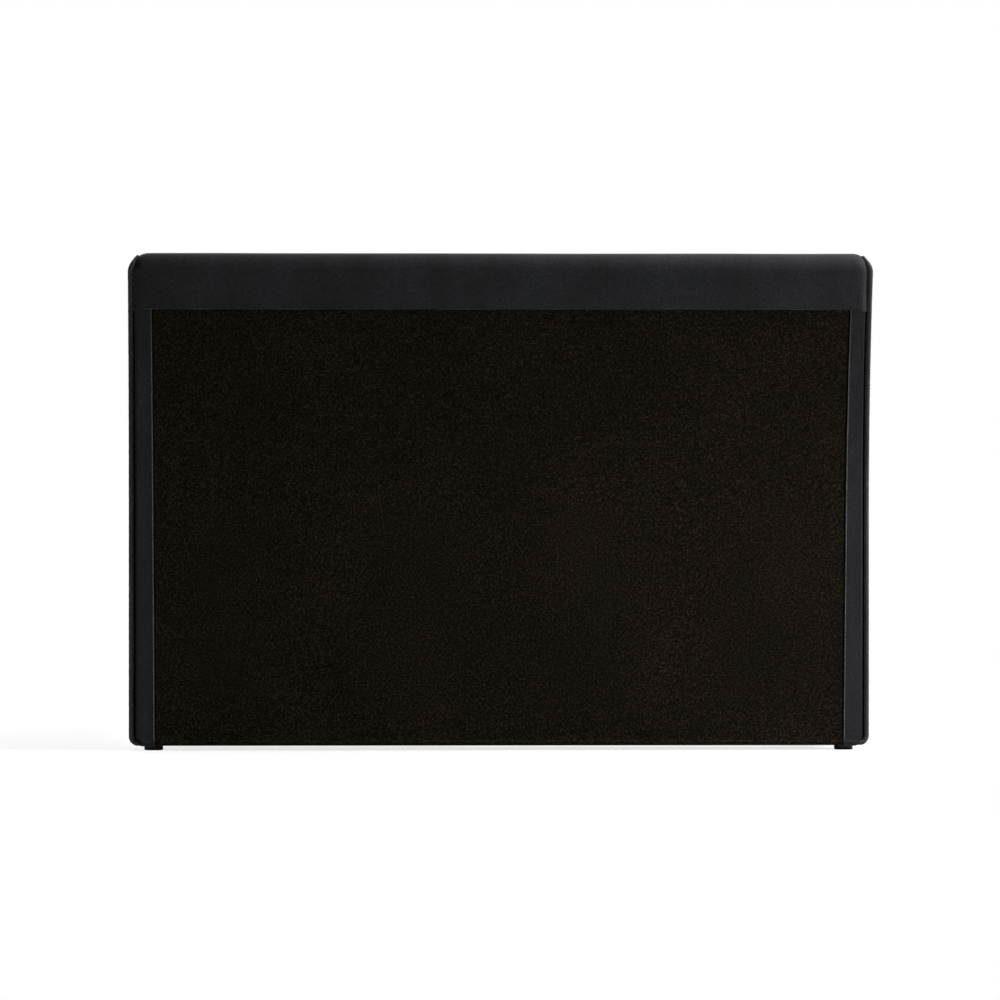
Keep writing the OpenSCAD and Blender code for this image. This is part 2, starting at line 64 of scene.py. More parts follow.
# Upholstery sizes that both padded ends share
HALF_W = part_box("headboard_piping_right")[1].x
SEAM_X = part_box("headboard_cover")[1].x
BODY_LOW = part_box("headboard_cover")[0].z
END_ROUND = 22 * MM          # rounding of a face towards its end seam
END_FLAT_X = SEAM_X - 20 * MM
SEAM_ZONE = 70 * MM          # strip beside a seam whose columns close up with it
TURN_ROUND = 8 * MM          # rounding where velvet turns under the body
UNDER = BODY_LOW - 0.8 * MM  # height of the turned-under velvet
TOP_ROUND = 45 * MM          # rounding of the top corners, seen from behind
TOP_FLAT_X = HALF_W - TOP_ROUND
TOP_SEAM_X = SEAM_X - 13 * MM
LOW_ROUND = 20 * MM          # rounding of the low corners
LOW_SAG = 0.8 * MM           # how far the piping hangs below the low corners
PIPE_R = 5.2 * MM
STRIP_SINK = 2 * MM          # the back strips lie this far inside the band's surface
DUST_SINK = 4.2 * MM         # and the dust cover this far
PIPE_OUT = 4.0 * MM          # how far the piping's centre stands out past the seam
PIPE_LIFT = 2.9 * MM         # and how far it stands proud of the seam's valley
RAIL_HALF_L = (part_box("rail_left_board")[1].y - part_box("rail_left_board")[0].y) / 2


def smooth(t):
    t = np.clip(t, 0, 1)
    return t * t * (3 - 2 * t)


def lattice_noise(a, b, seed):
    """Smooth noise from -1 to 1 over two coordinates, one cell per unit."""
    a, b = np.broadcast_arrays(np.asarray(a, float), np.asarray(b, float))
    table = np.random.default_rng(seed).uniform(-1, 1, (64, 64))
    i, j = np.floor(a).astype(int), np.floor(b).astype(int)
    s, t = smooth(a - i), smooth(b - j)
    value = lambda di, dj: table[(i + di) % 64, (j + dj) % 64]
    low = value(0, 0) * (1 - s) + value(1, 0) * s
    high = value(0, 1) * (1 - s) + value(1, 1) * s
    return low * (1 - t) + high * t


# --- meshes

def add_mesh(name, verts, faces, material, smooth_shade=True):
    mesh = bpy.data.meshes.new(name)
    mesh.from_pydata([tuple(v) for v in verts], [], [tuple(f) for f in faces])
    mesh.validate()
    mesh.update()
    if smooth_shade:
        mesh.polygons.foreach_set("use_smooth", [True] * len(mesh.polygons))
    mesh.materials.append(material)
    obj = bpy.data.objects.new(name, mesh)
    bpy.context.scene.collection.objects.link(obj)
    return obj


def grid_faces(rows, cols, wrap_cols=False, flip=False):
    """Quads over a rows by cols grid of points, numbered row by row."""
    last = cols if wrap_cols else cols - 1
    r, c = np.meshgrid(np.arange(rows - 1), np.arange(last), indexing="ij")
    d = (c + 1) % cols
    quads = np.stack([r * cols + c, r * cols + d, (r + 1) * cols + d, (r + 1) * cols + c], -1)
    quads = quads.reshape(-1, 4)
    return quads[:, ::-1] if flip else quads


def grid_mesh(name, points, material, wrap_cols=False, flip=False, thickness=0.0, painted_shade=None):
    """A grid of points as a mesh; the shade mark, from 0 to 1, darkens the cloth's colour as painted shade in
    seam grooves, under folds and beside raised edges.
    """
    rows, cols = points.shape[:2]
    obj = add_mesh(name, points.reshape(-1, 3), grid_faces(rows, cols, wrap_cols, flip), material)
    if painted_shade is not None:
        layer = obj.data.attributes.new("painted_shade", "FLOAT", "POINT")
        layer.data.foreach_set("value", np.broadcast_to(painted_shade, (rows, cols)).ravel().astype(np.float32))
    if thickness:
        shell = obj.modifiers.new("thickness", "SOLIDIFY")
        shell.thickness = thickness
        shell.offset = -1
    return obj


def grid_normals(points):
    """Unit normals of a grid of points, as rows cross columns."""
    across = np.gradient(points, axis=1)
    along = np.gradient(points, axis=0)
    n = np.cross(across, along)
    return n / np.maximum(np.linalg.norm(n, axis=-1, keepdims=True), 1e-12)


def frames_along(path):
    """A steady pair of side directions at each point of a path."""
    tangent = np.gradient(path, axis=0)
    tangent /= np.linalg.norm(tangent, axis=1, keepdims=True)
    side = np.cross(tangent, [1.0, 0, 0])
    side /= np.linalg.norm(side, axis=1, keepdims=True)
    return tangent, side, np.cross(tangent, side)


def tube(name, path, radius, material, ripple, sides=16):
    """A closed tube along a path; ripple(i, angle) scales its radius."""
    _, u, v = frames_along(path)
    angle = np.arange(sides) * 2 * math.pi / sides
    scale = ripple(np.arange(len(path))[:, None], angle)
    ring = np.cos(angle)[None, :, None] * u[:, None] + np.sin(angle)[None, :, None] * v[:, None]
    points = path[:, None] + ring * (radius * scale)[..., None]
    rows = len(path)
    faces = [tuple(q) for q in grid_faces(rows, sides, wrap_cols=True)]
    faces.append(tuple(range(sides))[::-1])
    faces.append(tuple((rows - 1) * sides + k for k in range(sides)))
    return add_mesh(name, points.reshape(-1, 3), faces, material)


# --- materials

class Nodes:
    """A small helper that builds a material's node tree."""

    def __init__(self, name):
        self.material = bpy.data.materials.new(name)
        self.material.use_nodes = True
        self.tree = self.material.node_tree
        self.shader = self.tree.nodes["Principled BSDF"]
        self.coords = self.tree.nodes.new("ShaderNodeTexCoord").outputs["Object"]

    def add(self, kind, **settings):
        node = self.tree.nodes.new(kind)
        for key, value in settings.items():
            if hasattr(node, key):
                setattr(node, key, value)
            else:
                node.inputs[key.replace("_", " ")].default_value = value
        return node

    def link(self, out, socket):
        self.tree.links.new(out, socket)

    def stretched(self, scale, rotation=(0, 0, 0)):
        node = self.add("ShaderNodeMapping")
        node.inputs["Scale"].default_value = scale
        node.inputs["Rotation"].default_value = rotation
        self.link(self.coords, node.inputs["Vector"])
        return node.outputs["Vector"]

    def noise(self, scale, detail=2.0, vector=None, roughness=0.5):
        node = self.add("ShaderNodeTexNoise", Scale=scale, Detail=detail, Roughness=roughness)
        self.link(self.coords if vector is None else vector, node.inputs["Vector"])
        return node.outputs["Fac"]

    def ramp(self, fac, *stops):
        node = self.add("ShaderNodeValToRGB")
        ramp = node.color_ramp
        while len(ramp.elements) < len(stops):
            ramp.elements.new(0.5)
        for element, (place, colour) in zip(ramp.elements, stops):
            element.position = place
            element.color = (*colour, 1) if len(colour) == 3 else colour
        self.link(fac, node.inputs["Fac"])
        return node.outputs["Color"]

    def mix(self, fac, a, b, mode="MIX"):
        node = self.add("ShaderNodeMix", data_type="RGBA", blend_type=mode)
        for value, socket in ((fac, node.inputs[0]), (a, node.inputs[6]), (b, node.inputs[7])):
            if hasattr(value, "links"):
                self.link(value, socket)
            else:
                socket.default_value = value
        return node.outputs[2]

    def span(self, fac, low, high):
        node = self.add("ShaderNodeMapRange")
        node.inputs["To Min"].default_value = low
        node.inputs["To Max"].default_value = high
        self.link(fac, node.inputs["Value"])
        return node.outputs["Result"]

    def math(self, kind, a, b):
        node = self.add("ShaderNodeMath", operation=kind)
        for value, socket in ((a, node.inputs[0]), (b, node.inputs[1])):
            if hasattr(value, "links"):
                self.link(value, socket)
            else:
                socket.default_value = value
        return node.outputs[0]

    def paint_shade(self, colour):
        """The colour, nearly black as painted shade where the mesh's shade mark is set."""
        mark = self.add("ShaderNodeAttribute", attribute_name="painted_shade")
        return self.mix(mark.outputs["Fac"], colour, (0.0004, 0.0004, 0.0005, 1))

    def bump(self, height, strength, distance, normal=None):
        node = self.add("ShaderNodeBump", Strength=strength, Distance=distance)
        self.link(height, node.inputs["Height"])
        if normal is not None:
            self.link(normal, node.inputs["Normal"])
        return node.outputs["Normal"]

    def finish(self, colour, roughness, normal=None, **constants):
        self.link(colour, self.shader.inputs["Base Color"])
        self.link(roughness, self.shader.inputs["Roughness"])
        if normal is not None:
            self.link(normal, self.shader.inputs["Normal"])
        for key, value in constants.items():
            self.shader.inputs[key.replace("_", " ")].default_value = value
        return self.material


def velvet(name, tone=1.0, nap=(1, 1, 0.35)):
    """Black velvet: a short dense pile, brushed unevenly, with a cool sheen."""
    n = Nodes(name)
    brushed = n.noise(9, 4, n.stretched(nap), 0.6)
    pile = n.noise(300, 5, n.stretched((0.55, 1, 1)), 0.85)
    tufts = n.noise(210, 2, None, 0.6)
    dark, light = [tuple(tone * v for v in c) for c in ((0.0022, 0.0024, 0.0028), (0.0165, 0.0172, 0.0186))]
    grain = n.ramp(pile, (0.34, dark), (0.66, light))
    shade = n.ramp(brushed, (0.3, (0.62, 0.63, 0.64)), (0.72, (1.37, 1.38, 1.4)))
    # painted shade: the mark on the mesh takes the velvet nearly to black in seam grooves and under folds
    colour = n.paint_shade(n.mix(1.0, grain, shade, "MULTIPLY"))
    height = n.math("ADD", pile, n.math("MULTIPLY", tufts, 1.4))
    normal = n.bump(height, 0.35, 0.0006)
    return n.finish(colour, n.span(brushed, 0.78, 0.95), normal, Specular_IOR_Level=0.12,
                    Sheen_Weight=0.16, Sheen_Roughness=0.42, Sheen_Tint=(0.86, 0.93, 1, 1))


def lining(name):
    """Warm black dust-cover cloth: thin, open and dull, with a speckled face."""
    n = Nodes(name)
    speck = n.noise(230, 5, None, 0.85)
    patch = n.noise(5, 3, None, 0.55)
    warp = n.add("ShaderNodeTexWave", wave_type="BANDS", bands_direction="X", Scale=260.0, Distortion=1.5)
    weft = n.add("ShaderNodeTexWave", wave_type="BANDS", bands_direction="Z", Scale=260.0, Distortion=1.5)
    for wave in (warp, weft):
        n.link(n.coords, wave.inputs["Vector"])
    grain = n.ramp(speck, (0.36, (0.0008, 0.0005, 0.0003)), (0.5, (0.0036, 0.0025, 0.0016)),
                   (0.64, (0.025, 0.019, 0.0135)))
    shade = n.ramp(patch, (0.3, (0.85, 0.84, 0.82)), (0.7, (1.15, 1.15, 1.14)))
    # painted shadow: the mark on the mesh takes the cloth nearly to black beside the strips' folded edges
    colour = n.paint_shade(n.mix(1.0, grain, shade, "MULTIPLY"))
    weave = n.math("MULTIPLY", warp.outputs["Fac"], weft.outputs["Fac"])
    normal = n.bump(n.math("ADD", weave, speck), 0.3, 0.0004)
    return n.finish(colour, n.span(speck, 0.85, 1.0), normal, Specular_IOR_Level=0.04)


def wood(name, pale, deep, grain_axis, knots=0.0, layers=False, coat=0.0):
    """Planed timber or plywood with grain along one axis."""
    n = Nodes(name)
    scale = [22.0, 22.0, 22.0]
    scale["XYZ".index(grain_axis)] = 1.3
    vector = n.stretched(tuple(scale))
    rings = n.add("ShaderNodeTexWave", wave_type="RINGS", Scale=1.1, Distortion=7.0, Detail=3.0)
    n.link(vector, rings.inputs["Vector"])
    fibre_scale = [420.0, 420.0, 420.0]
    fibre_scale["XYZ".index(grain_axis)] = 14.0
    fibre = n.noise(1.0, 4, n.stretched(tuple(fibre_scale)), 0.65)
    cloudy = n.noise(3.0, 3)
    base = n.ramp(rings.outputs["Fac"], (0.0, deep), (0.65, pale), (1.0, tuple(0.93 * c for c in pale)))
    tint = n.ramp(fibre, (0.3, (0.78, 0.76, 0.73)), (0.7, (1.06, 1.05, 1.04)))
    colour = n.mix(0.8, base, tint, "MULTIPLY")
    shade = n.ramp(cloudy, (0.3, (0.86, 0.85, 0.83)), (0.7, (1.05, 1.05, 1.05)))
    colour = n.mix(0.6, colour, shade, "MULTIPLY")
    if knots:
        spots = n.add("ShaderNodeTexVoronoi", Scale=2.6)
        n.link(vector, spots.inputs["Vector"])
        knot = n.ramp(spots.outputs["Distance"], (0.02, tuple(0.25 * c for c in deep)), (0.09, (1, 1, 1)))
        colour = n.mix(knots, colour, knot, "MULTIPLY")
    if layers:
        ply = n.add("ShaderNodeTexWave", wave_type="BANDS", bands_direction="X", Scale=110.0, Distortion=0.4)
        n.link(n.coords, ply.inputs["Vector"])
        plies = n.ramp(ply.outputs["Fac"], (0.3, (0.55, 0.45, 0.36)), (0.6, (1, 1, 1)))
        colour = n.mix(0.35, colour, plies, "MULTIPLY")
    normal = n.bump(fibre, 0.25, 0.0006)
    return n.finish(colour, n.span(fibre, 0.45, 0.68), normal, Coat_Weight=coat, Coat_Roughness=0.3)


def plastic(name):
    """Moulded black plastic with a fine spark texture and light scuffs."""
    n = Nodes(name)
    spark = n.noise(900, 2)
    scuff = n.noise(60, 4, n.stretched((1, 1, 0.3)))
    colour = n.ramp(scuff, (0.35, (0.0025, 0.0025, 0.0027)), (0.75, (0.007, 0.007, 0.0073)))
    return n.finish(colour, n.span(scuff, 0.42, 0.66), n.bump(spark, 0.2, 0.0003), Specular_IOR_Level=0.25)


def metal(name, low, high, rough, metallic=1.0, streak=(1, 1, 8)):
    """Plated, turned or powder-coated metal."""
    n = Nodes(name)
    stain = n.noise(40, 4)
    lines = n.noise(300, 3, n.stretched(streak))
    colour = n.ramp(stain, (0.3, low), (0.75, high))
    return n.finish(colour, n.span(lines, rough - 0.08, rough + 0.1), n.bump(lines, 0.1, 0.0002),
                    Metallic=metallic)


def foam(name):
    """Cream upholstery foam with open cells."""
    n = Nodes(name)
    cells = n.add("ShaderNodeTexVoronoi", Scale=620.0)
    n.link(n.coords, cells.inputs["Vector"])
    cloudy = n.noise(12, 3)
    colour = n.ramp(cloudy, (0.3, (0.72, 0.64, 0.42)), (0.75, (0.84, 0.79, 0.6)))
    return n.finish(colour, n.span(cloudy, 0.85, 1.0), n.bump(cells.outputs["Distance"], 0.6, 0.001),
                    Specular_IOR_Level=0.1)


def tape(name):
    """Black woven tape with fine ribs across it."""
    n = Nodes(name)
    ribs = n.add("ShaderNodeTexWave", wave_type="BANDS", bands_direction="Y", Scale=320.0, Distortion=0.6)
    n.link(n.coords, ribs.inputs["Vector"])
    yarn = n.noise(800, 3)
    colour = n.ramp(n.math("MULTIPLY", ribs.outputs["Fac"], yarn), (0.1, (0.006, 0.006, 0.007)),
                    (0.6, (0.035, 0.035, 0.038)))
    return n.finish(colour, n.span(yarn, 0.7, 0.92), n.bump(ribs.outputs["Fac"], 0.5, 0.0005),
                    Specular_IOR_Level=0.2)


VELVET = velvet("velvet")
PANEL_VELVET = velvet("panel_velvet", 0.95)
# the piping is the velvet at 2.2 times its tone, a painted highlight where the round cord catches the light
PIPING_HIGHLIGHT = velvet("piping_velvet_painted_highlight", 2.2, (1, 1, 1))
LINING = lining("lining")
PINE = wood("pine", (0.62, 0.43, 0.23), (0.42, 0.25, 0.11), "Y", knots=0.5)
POST_PINE = wood("post_pine", (0.6, 0.42, 0.23), (0.4, 0.24, 0.11), "Z", knots=0.5)
BEECH = wood("slat_wood", (0.66, 0.49, 0.3), (0.5, 0.33, 0.17), "X")
PLYWOOD = wood("plywood", (0.6, 0.44, 0.26), (0.46, 0.31, 0.16), "Z", layers=True)
STAINED = wood("stained_wood", (0.02, 0.013, 0.01), (0.008, 0.005, 0.004), "Z", coat=0.25)
PLASTIC = plastic("black_plastic")
ZINC = metal("zinc_steel", (0.36, 0.37, 0.38), (0.62, 0.63, 0.62), 0.32)
COATED = metal("black_steel", (0.012, 0.012, 0.0125), (0.022, 0.022, 0.023), 0.5, metallic=0.0)
BRASS = metal("brass", (0.5, 0.34, 0.12), (0.78, 0.58, 0.26), 0.28)
FOAM = foam("foam")
TAPE = tape("webbing_tape")
THREAD = velvet("thread", 12.0, (1, 1, 1))


# --- side shapes

def run_line(p, q, normal, step=5 * MM):
    """Evenly spaced rows (depth, height, outward normal) on a straight run, without its last point."""
    p, q = np.array(p, float), np.array(q, float)
    count = max(1, round(np.linalg.norm(q - p) / step))
    t = np.arange(count)[:, None] / count
    return np.hstack([p + (q - p) * t, np.tile(normal, (count, 1))])


def run_arc(centre, radius, start, end, step=5 * MM, outward=1, most=7.0):
    """Rows on an arc; angles are in degrees from the face's flat, and outward is -1 on a hollow side."""
    length = abs(math.radians(end - start)) * radius
    count = max(1, round(length / step), math.ceil(abs(end - start) / most))
    a = np.radians(start + (end - start) * np.arange(count) / count)[:, None]
    ray = np.hstack([-np.cos(a), np.sin(a)])
    return np.hstack([np.array(centre) + radius * ray, outward * ray])


class Board:
    """Side shape of a padded end, as its CAD has it: a face that sweeps back and rounds over the top."""

    def __init__(self, cover, way, high, bend_z, lean, depth, near_r, far_r):
        low_corner, high_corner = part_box(cover)
        self.face_y = low_corner.y if way > 0 else high_corner.y
        self.way, self.high, self.bend_z, self.lean = way, high, bend_z, lean
        self.depth, self.near_r, self.far_r = depth, near_r, far_r
        s, c = math.sin(math.radians(lean)), math.cos(math.radians(lean))
        self.radius = (high - bend_z - near_r * (1 - s)) / s
        self.centre = (self.radius, bend_z)
        near_tip = self.on_sweep(0, lean)
        self.near_c = near_tip + near_r * np.array([c, -s])
        far_tip = self.on_sweep(depth, lean)
        rise = (high - far_r - far_tip[1] - far_r * s) / c
        self.far_c = np.array([far_tip[0] - far_r * c + rise * s, high - far_r])

    def on_sweep(self, depth, angle):
        a = math.radians(angle)
        r = self.radius - depth
        return np.array([self.radius - r * math.cos(a), self.bend_z + r * math.sin(a)])

    def sweep_angle(self, depth, z):
        return math.degrees(math.asin((z - self.bend_z) / (self.radius - depth)))

    def world(self, x, depth, z):
        return np.stack([x, self.face_y + self.way * depth, z], -1)

    def front_rows(self):
        """From the turn-under below the face, up the face and over the top to the far rounding."""
        turn, low = TURN_ROUND, UNDER
        return [
            run_line((45 * MM, low), (turn, low), (0, -1)),
            run_arc((turn, low + turn), turn, -90, 0, 2 * MM),
            run_line((0, low + turn), (0, self.bend_z), (-1, 0)),
            run_arc(self.centre, self.radius, 0, self.lean),
            run_arc(self.near_c, self.near_r, self.lean, 90),
            run_line((self.near_c[0], self.high), (self.far_c[0], self.high), (0, 1)),
            run_arc(self.far_c, self.far_r, 90, 180 + self.lean, 4 * MM),
        ]

    def back_rows(self, low_z):
        """Down the back from the far rounding to low_z."""
        a = math.radians(self.lean)
        normal = np.array([math.cos(a), -math.sin(a)])
        start = self.far_c + self.far_r * normal
        depth = self.depth
        rows = [run_line(start, self.on_sweep(depth, self.lean), normal)]
        if low_z >= self.bend_z:
            end = self.sweep_angle(depth, low_z)
            rows.append(run_arc(self.centre, self.radius - depth, self.lean, end, outward=-1))
            tip, a = self.on_sweep(depth, end), math.radians(end)
            rows.append(np.array([[*tip, math.cos(a), -math.sin(a)]]))
        else:
            rows.append(run_arc(self.centre, self.radius - depth, self.lean, 0, outward=-1))
            rows.append(run_line((depth, self.bend_z), (depth, low_z), (1, 0)))
            rows.append(np.array([[depth, low_z, 1, 0]]))
        return rows

    def back_from(self, high_z, low_z):
        """Down the back from a height below the band to low_z."""
        end = self.sweep_angle(self.depth, high_z)
        return [
            run_arc(self.centre, self.radius - self.depth, end, 0, outward=-1),
            run_line((self.depth, self.bend_z), (self.depth, low_z), (1, 0)),
            np.array([[self.depth, low_z, 1, 0]]),
        ]

    def turn_under_rows(self):
        """The back's turn-under at the bottom, after the back has come down to it."""
        turn, low, end = TURN_ROUND, UNDER, self.depth - 40 * MM
        return [
            run_arc((self.depth - turn, low + turn), turn, 180, 270, 2 * MM),
            run_line((self.depth - turn, low), (end, low), (0, -1)),
            np.array([[end, low, 0, -1]]),
        ]


HEAD = Board("headboard_cover", 1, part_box("headboard_cover")[1].z, 520 * MM, 22, 108 * MM, 62 * MM, 30 * MM)
FOOT = Board("footboard_cover", -1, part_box("footboard_cover")[1].z, 340 * MM, 24, 120 * MM, 62 * MM, 50 * MM)
BAND_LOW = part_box("headboard_dust_cover")[1].z


def corner_shares(board, z):
    """How far a height lies into the top corner, from 0 to 1, and how far the low corner draws in."""
    top = np.clip((z - (board.high - TOP_ROUND)) / TOP_ROUND, 0, 1)
    reach = LOW_ROUND - (HALF_W - SEAM_X)
    under = np.clip(BODY_LOW + LOW_ROUND - z, 0, reach)
    return top, reach - np.sqrt(reach ** 2 - under ** 2 * 0.999)


def seam_x(board, z):
    top, draw = corner_shares(board, z)
    return SEAM_X - (SEAM_X - TOP_SEAM_X) * (1 - np.sqrt(1 - 0.999 * top ** 2)) ** 0.65 - draw


def end_drop(board, x, z, sink=0.0):
    """How far a skin lies inside the outline at a place across the bed: 0 on the flat, more at the seam."""
    top, draw = corner_shares(board, z)
    flat = END_FLAT_X + (TOP_FLAT_X - END_FLAT_X) * smooth(top) - draw
    r = END_ROUND + (TOP_ROUND - END_ROUND) * smooth(top)
    past = np.clip(np.abs(x) - flat, 0, 0.98 * r)
    drop = r - np.sqrt(r ** 2 - past ** 2)
    full = np.clip(seam_x(board, z) - flat, 1e-4, 0.98 * r)
    seam_drop = r - np.sqrt(r ** 2 - full ** 2)
    return sink + drop * (seam_drop - sink) / seam_drop


def seam_line(board, rows):
    """The end seam at each row: place across, depth and height."""
    z = rows[:, 1]
    x = seam_x(board, z)
    drop = end_drop(board, x, z)
    return np.stack([x, rows[:, 0] - rows[:, 2] * drop, z - rows[:, 3] * drop], -1)


def end_columns():
    """Places across the bed on one side, from the end seam inwards: close together near the seam."""
    near = np.array([0, 0.8, 1.8, 3, 4.5, 6, 8, 10, 12, 14.5, 17, 20, 24, 29, 35, 43, 53]) * MM
    middle = np.linspace(0, SEAM_X - SEAM_ZONE, 36)
    return SEAM_X - near, middle


def cover_columns():
    near, middle = end_columns()
    side = np.concatenate([middle[1:], near[::-1]])
    return np.concatenate([-side[::-1], [0.0], side])


def across_places(board, xs, z):
    """Reference places across the bed, squeezed near the ends to meet the seam at each height."""
    core = SEAM_X - SEAM_ZONE
    stretch = (seam_x(board, z)[:, None] - core) / (SEAM_X - core)
    past = np.clip(np.abs(xs)[None] - core, 0, None)
    return np.sign(xs)[None] * (np.minimum(np.abs(xs), core)[None] + past * stretch)


def cover_grid(board, rows, xs):
    x = across_places(board, xs, rows[:, 1])
    drop = end_drop(board, x, rows[:, 1][:, None])
    depth = rows[:, 0][:, None] - rows[:, 2][:, None] * drop
    z = rows[:, 1][:, None] - rows[:, 3][:, None] * drop
    return board.world(x, depth, z)


# --- padding by cloth simulation

def simulate_padding(points, pinned, pressure=4.0, frames=20):
    """Blows a grid of cloth outwards between its pinned points, and returns how far each point moved."""
    rows, cols = points.shape[:2]
    obj = add_mesh("sim", points.reshape(-1, 3), grid_faces(rows, cols), VELVET)
    group = obj.vertex_groups.new(name="pin")
    group.add([int(i) for i in np.flatnonzero(pinned.ravel())], 1.0, "REPLACE")
    cloth = obj.modifiers.new("cloth", "CLOTH")
    cloth.settings.vertex_group_mass = "pin"
    cloth.settings.quality = 6
    cloth.settings.mass = 0.25
    cloth.settings.tension_stiffness = cloth.settings.compression_stiffness = 25
    cloth.settings.bending_stiffness = 4.0
    cloth.settings.use_pressure = True
    cloth.settings.uniform_pressure_force = pressure
    cloth.settings.effector_weights.gravity = 0
    cloth.collision_settings.use_collision = False
    cloth.point_cache.frame_start, cloth.point_cache.frame_end = 1, frames
    scene = bpy.context.scene
    for f in range(1, frames + 1):
        scene.frame_set(f)
    shaped = obj.evaluated_get(bpy.context.evaluated_depsgraph_get())
    moved = np.empty(rows * cols * 3, np.float32)
    shaped.data.vertices.foreach_get("co", moved)
    scene.frame_set(1)
    bpy.data.objects.remove(obj)
    return moved.reshape(points.shape) - points


def spread_over(values, row_at, col_at, rows, cols):
    """Values on a coarse grid, read at every row and column of the full one."""
    full = np.stack([np.interp(np.arange(cols), col_at, v) for v in values])
    return np.stack([np.interp(np.arange(rows), row_at, full[:, c]) for c in range(cols)], 1)


def padding_height(points, free, most):
    """Outward swell of the free part of a grid, from a coarse cloth run, no more than most."""
    rows, cols = points.shape[:2]
    row_at = np.unique(np.linspace(0, rows - 1, rows // 3).astype(int))
    col_at = np.unique(np.concatenate([np.arange(0, cols, 2), [cols - 1]]))
    coarse = points[np.ix_(row_at, col_at)]
    moved = simulate_padding(coarse, free[np.ix_(row_at, col_at)] < 0.5)
    out = (moved * grid_normals(coarse)).sum(-1)
    if abs(out.min()) > abs(out.max()):
        out = -out
    out = spread_over(np.clip(out, 0, None), row_at, col_at, rows, cols)
    return free * most * out / (out + 0.6 * most)


def pressed(board_z, x, spots, edge=45 * MM):
    """1 on open padding, 0 where a rail or bracket presses in; spots are (x low, x high, z low, z high)."""
    free = np.ones(np.broadcast(board_z, x).shape)
    for x0, x1, z0, z1 in spots:
        past_x = np.maximum(np.maximum(x0 - np.abs(x), np.abs(x) - x1), 0)
        past_z = np.maximum(np.maximum(z0 - board_z, board_z - z1), 0)
        free *= smooth(np.hypot(past_x, past_z) / edge)
    return free


# --- padded ends

TURN_END = UNDER + TURN_ROUND    # where a face's turn-under begins
EDGE_SLANT = 7 * MM              # the band's lower edge runs down by this much to its ends
COVER_T = 1.1 * MM


def row_lengths(rows):
    return np.concatenate([[0], np.cumsum(np.linalg.norm(np.diff(rows[:, :2], axis=0), axis=1))])


def fold_rows(last, r=1.5 * MM, under=11 * MM):
    """Rows that turn cloth under after its last row, which runs down the back."""
    n = last[2:]
    along = np.array([-abs(n[1]) if n[1] else 0.0, -abs(n[0])])
    centre = last[:2] - r * n
    rows = []
    for a in np.radians(np.arange(22.5, 181, 22.5)):
        ray = math.cos(a) * n + math.sin(a) * along
        rows.append([*(centre + r * ray), *ray])
    for length in (0.3 * under, 0.65 * under, under):
        rows.append([*(centre - r * n - length * along), *(-n)])
    return np.array(rows)


def padded_cover(name, nodes, board, parts, folded=0, spots=(), seed=1):
    """A velvet cover over foam: sewn at both ends, swollen between, and puckered along its seams."""
    rows = np.vstack(parts)
    xs = cover_columns()
    height = rows[:, 1][:, None]
    seated = rows.copy()
    if folded:
        seated[-folded:, 2:] = rows[-folded - 1, 2:]
    points = cover_grid(board, seated, xs)
    out = grid_normals(points) * board.way
    x = across_places(board, xs, rows[:, 1])
    gap = seam_x(board, rows[:, 1])[:, None] - np.abs(x)
    length = row_lengths(rows)[:, None]
    facing = -rows[:, 2][:, None]
    open_rows = (height > TURN_END) * np.ones_like(x)
    if folded:
        to_edge = length[-folded - 1] - length
        open_rows *= smooth(to_edge / (30 * MM))
    free = smooth(gap / (34 * MM)) * open_rows
    free *= smooth((height - TURN_END) / (40 * MM))
    free = np.where(facing > 0.5, free * pressed(height, x, spots), free)
    most = np.broadcast_to(1.0 * MM + 7 * MM * smooth((facing - 0.2) / 0.75), x.shape)
    swell = padding_height(points, free, most)
    gathers = lattice_noise(length / (8 * MM) + 3, np.sign(x) * 9 + gap / (25 * MM), seed)
    pucker = 0.55 * MM * np.exp(-gap / (11 * MM)) * gathers
    wave = 0.5 * MM * lattice_noise(x / (0.16) + 7, length / 0.13, seed + 1) * free
    valley = 4.2 * MM * np.exp(-gap / (2.2 * MM))
    # painted shade: the velvet goes nearly black in the seam groove next to the piping
    painted_shade = np.exp(-((gap / (3.2 * MM)) ** 2))
    points = points + out * (swell - valley + (pucker + wave) * np.minimum(open_rows, 1))[..., None]
    if folded:
        share = smooth(1 - np.clip(to_edge, 0, None) / (45 * MM)) * (facing < 0)
        slant = EDGE_SLANT * smooth((np.abs(x) - (SEAM_X - 30 * MM)) / (30 * MM))
        wander = 0.6 * MM * lattice_noise(x / (60 * MM) + 5, 0 * x, seed + 2)
        near_edge = smooth(1 - np.clip(to_edge, 0, None) / (9 * MM))
        flare = 1.6 * MM * near_edge * (to_edge > -4 * MM) * (facing < 0)
        points[..., 2] -= share * (slant + wander)
        points[..., 1] += flare
    cover = grid_mesh(name, points, VELVET, flip=board.way < 0, thickness=COVER_T, painted_shade=painted_shade)
    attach(cover, "root")
    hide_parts(*nodes)


